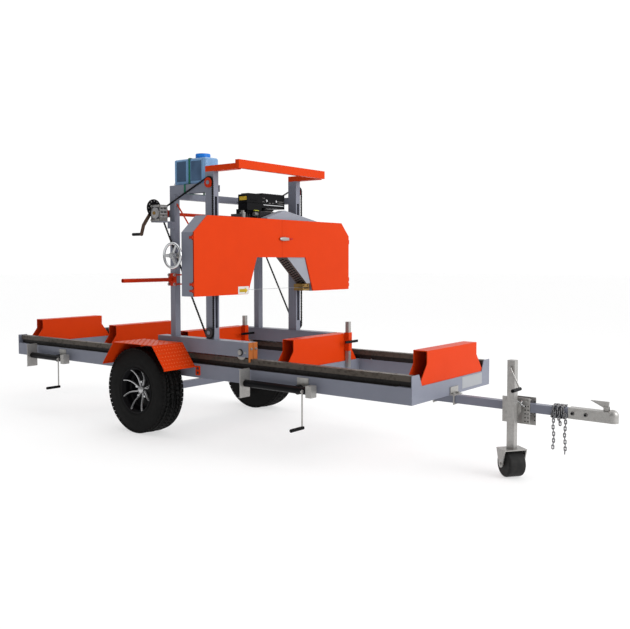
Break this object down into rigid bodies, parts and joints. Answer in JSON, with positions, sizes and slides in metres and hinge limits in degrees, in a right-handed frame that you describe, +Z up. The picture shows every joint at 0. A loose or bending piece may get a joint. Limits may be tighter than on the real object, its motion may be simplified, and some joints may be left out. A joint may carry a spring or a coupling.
{
  "type": "portable band sawmill",
  "caption": "Portable band sawmill on a towable track frame: a saw head with band wheels and engine rides on a rolling carriage over log bunks, with corner jacks and a tow coupler.",
  "frame": {"origin": "middle of the whole machine's bounding box, at ground level", "axes": "+X along the trailer towards the tow coupler, +Y across it away from the side with the push handle, +Z up"},
  "size_m": [5.066, 1.8995, 2.0203],
  "materials": {
    "blue_grey_paint": "satin powder coat, blue grey",
    "orange_paint": "satin powder coat, orange red",
    "bare_rail": "worn brown-grey steel",
    "zinc": "bright zinc plate",
    "black_paint": "satin black",
    "chrome": "polished",
    "tyre": "road tyre rubber",
    "caster_rubber": "solid rubber",
    "tank_blue": "translucent light blue plastic",
    "cap_blue": "dark blue plastic",
    "cast_silver": "cast and machined",
    "black_cover": "satin black",
    "engine_grey": "dark cast metal",
    "brass": "dull machined brass",
    "blade_steel": "bright spring steel",
    "belt_rubber": "reinforced belt rubber",
    "chain_steel": "oiled black roller chain"
  },
  "bodies": {
    "trailer": {"side_beams": "blue_grey_paint", "track_rails": "bare_rail", "cross_members": "blue_grey_paint", "log_bunks": "orange_paint", "axle_beam": "blue_grey_paint", "fenders": "orange_paint", "tongue_tube": "blue_grey_paint", "bolt_brackets": "zinc", "coupler": "zinc", "safety_chains": "zinc"},
    "road_wheel_near": {"tyre_near": "tyre", "rim_near": "cast_silver"},
    "road_wheel_far": {"tyre_far": "tyre", "rim_far": "cast_silver"},
    "stop_1": {"stop_post_1": "zinc"},
    "stop_2": {"stop_post_2": "zinc"},
    "stop_clamp_1": {"stop_lever_1": "black_paint"},
    "stop_clamp_2": {"stop_lever_2": "black_paint"},
    "latch": {"coupler_latch": "zinc"},
    "jack_mast": {"front_jack_mast": "zinc"},
    "jack_leg": {"front_jack_leg": "zinc"},
    "jack_crank": {"front_jack_crank": "zinc"},
    "jack_fork": {"front_jack_fork": "zinc"},
    "jack_wheel": {"front_jack_wheel": "caster_rubber"},
    "side_jack_1": {"side_jack_1_tube": "black_paint"},
    "side_leg_1": {"side_jack_1_leg": "zinc"},
    "side_crank_1": {"side_jack_1_crank": "zinc"},
    "side_jack_2": {"side_jack_2_tube": "black_paint"},
    "side_leg_2": {"side_jack_2_leg": "zinc"},
    "side_crank_2": {"side_jack_2_crank": "zinc"},
    "carriage": {"carriage_beams": "blue_grey_paint", "carriage_posts": "blue_grey_paint", "roof_bar": "orange_paint", "water_tank": "tank_blue", "winch_gearbox": "cast_silver", "lift_chains": "chain_steel", "push_handle": "orange_paint"},
    "track_front": {"track_wheels_front": "cast_silver"},
    "track_rear": {"track_wheels_rear": "cast_silver"},
    "cap": {"tank_cap": "cap_blue"},
    "lift": {"lift_shaft": "orange_paint"},
    "winch": {"winch_crank": "black_paint"},
    "sprockets_top": {"top_sprockets": "orange_paint"},
    "sprockets_low": {"bottom_sprockets": "orange_paint"},
    "head": {"back_pan": "blue_grey_paint", "saw_band": "blade_steel", "drive_belt": "belt_rubber", "band_guides": "brass", "head_fittings": "zinc", "engine_block": "engine_grey", "engine_covers": "black_cover", "belt_guard": "blue_grey_paint"},
    "near_door": {"door_near": "orange_paint"},
    "far_door": {"door_far": "orange_paint"},
    "door_catch": {"door_latch": "cast_silver"},
    "tension": {"tension_slide": "zinc"},
    "band_near": {"band_wheel_near": "cast_silver"},
    "band_far": {"band_wheel_far": "cast_silver"},
    "motor_pulley": {"engine_pulley": "cast_silver"},
    "tension_wheel": {"handwheel": "chrome"}
  },
  "joints": [
    {"name": "road_wheel_near_spin", "type": "hinge", "parent": "trailer", "child": "road_wheel_near", "pos_m": [-0.658, -0.64175, 0.313], "axis": [0, 1, 0], "continuous": true},
    {"name": "road_wheel_far_spin", "type": "hinge", "parent": "trailer", "child": "road_wheel_far", "pos_m": [-0.658, 0.60625, 0.313], "axis": [0, 1, 0], "continuous": true},
    {"name": "stop_1_height", "type": "slide", "parent": "trailer", "child": "stop_1", "axis": [0, 0, 1], "range_m": [-0.088, 0.1]},
    {"name": "stop_1_clamp", "type": "hinge", "parent": "trailer", "child": "stop_clamp_1", "pos_m": [0.5489, 0.26225, 0.665], "axis": [1, 0, 0], "range_deg": [0, 180]},
    {"name": "stop_2_height", "type": "slide", "parent": "trailer", "child": "stop_2", "axis": [0, 0, 1], "range_m": [-0.088, 0.1]},
    {"name": "stop_2_clamp", "type": "hinge", "parent": "trailer", "child": "stop_clamp_2", "pos_m": [-0.47863, 0.26225, 0.665], "axis": [1, 0, 0], "range_deg": [0, 180]},
    {"name": "coupler_latch_lift", "type": "hinge", "parent": "trailer", "child": "latch", "pos_m": [2.468, -0.01775, 0.445], "axis": [0, 1, 0], "range_deg": [0, 60]},
    {"name": "front_jack_swing", "type": "hinge", "parent": "trailer", "child": "jack_mast", "pos_m": [1.96, -0.11275, 0.395], "axis": [0, 1, 0], "range_deg": [0, 65]},
    {"name": "front_jack_extend", "type": "slide", "parent": "jack_mast", "child": "jack_leg", "axis": [0, 0, 1], "range_m": [-0.25, 0]},
    {"name": "front_jack_crank_turn", "type": "hinge", "parent": "jack_mast", "child": "jack_crank", "pos_m": [1.96, -0.11275, 0.64], "axis": [0, 1, 0], "continuous": true},
    {"name": "front_jack_caster", "type": "hinge", "parent": "jack_leg", "child": "jack_fork", "pos_m": [1.96, -0.11275, 0.159], "axis": [0, 0, 1], "continuous": true},
    {"name": "front_jack_wheel_spin", "type": "hinge", "parent": "jack_fork", "child": "jack_wheel", "pos_m": [1.96, -0.11275, 0.078], "axis": [0.6018, 0.7986, 0], "continuous": true},
    {"name": "side_jack_1_swing", "type": "hinge", "parent": "trailer", "child": "side_jack_1", "pos_m": [-1.86, -0.57775, 0.44], "axis": [0, 1, 0], "range_deg": [-90, 0]},
    {"name": "side_jack_1_extend", "type": "slide", "parent": "side_jack_1", "child": "side_leg_1", "axis": [-1, 0, 0], "range_m": [-0.004, 0.19]},
    {"name": "side_jack_1_crank_turn", "type": "hinge", "parent": "side_jack_1", "child": "side_crank_1", "pos_m": [-1.795, -0.57775, 0.44], "axis": [0, 1, 0], "continuous": true},
    {"name": "side_jack_2_swing", "type": "hinge", "parent": "trailer", "child": "side_jack_2", "pos_m": [0.73, -0.57775, 0.44], "axis": [0, 1, 0], "range_deg": [-90, 0]},
    {"name": "side_jack_2_extend", "type": "slide", "parent": "side_jack_2", "child": "side_leg_2", "axis": [-1, 0, 0], "range_m": [-0.004, 0.19]},
    {"name": "side_jack_2_crank_turn", "type": "hinge", "parent": "side_jack_2", "child": "side_crank_2", "pos_m": [0.795, -0.57775, 0.44], "axis": [0, 1, 0], "continuous": true},
    {"name": "carriage_travel", "type": "slide", "parent": "trailer", "child": "carriage", "axis": [1, 0, 0], "range_m": [-1.75, 1.1]},
    {"name": "track_front_roll", "type": "hinge", "parent": "carriage", "child": "track_front", "pos_m": [0.181, -0.01775, 0.6313], "axis": [0, 1, 0], "continuous": true},
    {"name": "track_rear_roll", "type": "hinge", "parent": "carriage", "child": "track_rear", "pos_m": [-0.581, -0.01775, 0.6313], "axis": [0, 1, 0], "continuous": true},
    {"name": "tank_cap_turn", "type": "hinge", "parent": "carriage", "child": "cap", "pos_m": [-0.308, -0.38125, 2.005], "axis": [0, 0, 1], "continuous": true},
    {"name": "head_lift", "type": "slide", "parent": "carriage", "child": "head", "axis": [0, 0, 1], "range_m": [-0.275, 0.275]},
    {"name": "lift_shaft_turn", "type": "hinge", "parent": "carriage", "child": "lift", "pos_m": [-0.58, -0.01775, 1.597], "axis": [0, 1, 0], "continuous": true},
    {"name": "winch_crank_turn", "type": "hinge", "parent": "carriage", "child": "winch", "pos_m": [-0.58, -0.56075, 1.637], "axis": [1, 0, 0], "continuous": true},
    {"name": "top_sprockets_turn", "type": "hinge", "parent": "carriage", "child": "sprockets_top", "pos_m": [-0.125, -0.01775, 1.797], "axis": [0, 1, 0], "continuous": true},
    {"name": "bottom_sprockets_turn", "type": "hinge", "parent": "carriage", "child": "sprockets_low", "pos_m": [-0.125, -0.01775, 0.748], "axis": [0, 1, 0], "continuous": true},
    {"name": "door_near_swing", "type": "hinge", "parent": "head", "child": "near_door", "pos_m": [0.035, -0.81175, 1.25], "axis": [0, 0, 1], "range_deg": [-110, 0]},
    {"name": "door_far_swing", "type": "hinge", "parent": "head", "child": "far_door", "pos_m": [0.035, 0.94425, 1.25], "axis": [0, 0, 1], "range_deg": [0, 110]},
    {"name": "door_latch_turn", "type": "hinge", "parent": "far_door", "child": "door_catch", "pos_m": [0.045, 0.15525, 1.414], "axis": [1, 0, 0], "range_deg": [0, 90]},
    {"name": "band_tension", "type": "slide", "parent": "head", "child": "tension", "axis": [0, 1, 0], "range_m": [0, 0.01]},
    {"name": "tension_wheel_turn", "type": "hinge", "parent": "head", "child": "tension_wheel", "pos_m": [-0.11, -0.85775, 1.287], "axis": [0, 1, 0], "continuous": true},
    {"name": "band_wheel_near_spin", "type": "hinge", "parent": "tension", "child": "band_near", "pos_m": [-0.0125, -0.52775, 1.287], "axis": [1, 0, 0], "continuous": true},
    {"name": "band_wheel_far_spin", "type": "hinge", "parent": "head", "child": "band_far", "pos_m": [-0.0125, 0.65825, 1.287], "axis": [1, 0, 0], "continuous": true},
    {"name": "engine_pulley_spin", "type": "hinge", "parent": "head", "child": "motor_pulley", "pos_m": [-0.049, 0.18225, 1.53], "axis": [1, 0, 0], "continuous": true}
  ],
  "couplings": [
    {"joint": "front_jack_crank_turn", "follows": "front_jack_extend", "rad_per_m": 1256.6},
    {"joint": "side_jack_1_crank_turn", "follows": "side_jack_1_extend", "rad_per_m": 1256.6},
    {"joint": "side_jack_2_crank_turn", "follows": "side_jack_2_extend", "rad_per_m": 1256.6},
    {"joint": "track_front_roll", "follows": "carriage_travel", "rad_per_m": 23.81},
    {"joint": "track_rear_roll", "follows": "carriage_travel", "rad_per_m": 23.81},
    {"joint": "lift_shaft_turn", "follows": "head_lift", "rad_per_m": -23.81},
    {"joint": "winch_crank_turn", "follows": "head_lift", "rad_per_m": 238.1},
    {"joint": "top_sprockets_turn", "follows": "head_lift", "rad_per_m": -25.641},
    {"joint": "bottom_sprockets_turn", "follows": "head_lift", "rad_per_m": -25.641},
    {"joint": "tension_wheel_turn", "follows": "band_tension", "rad_per_m": 2513.3},
    {"joint": "band_wheel_near_spin", "follows": "band_wheel_far_spin", "ratio": 1},
    {"joint": "engine_pulley_spin", "follows": "band_wheel_far_spin", "ratio": 2}
  ]
}
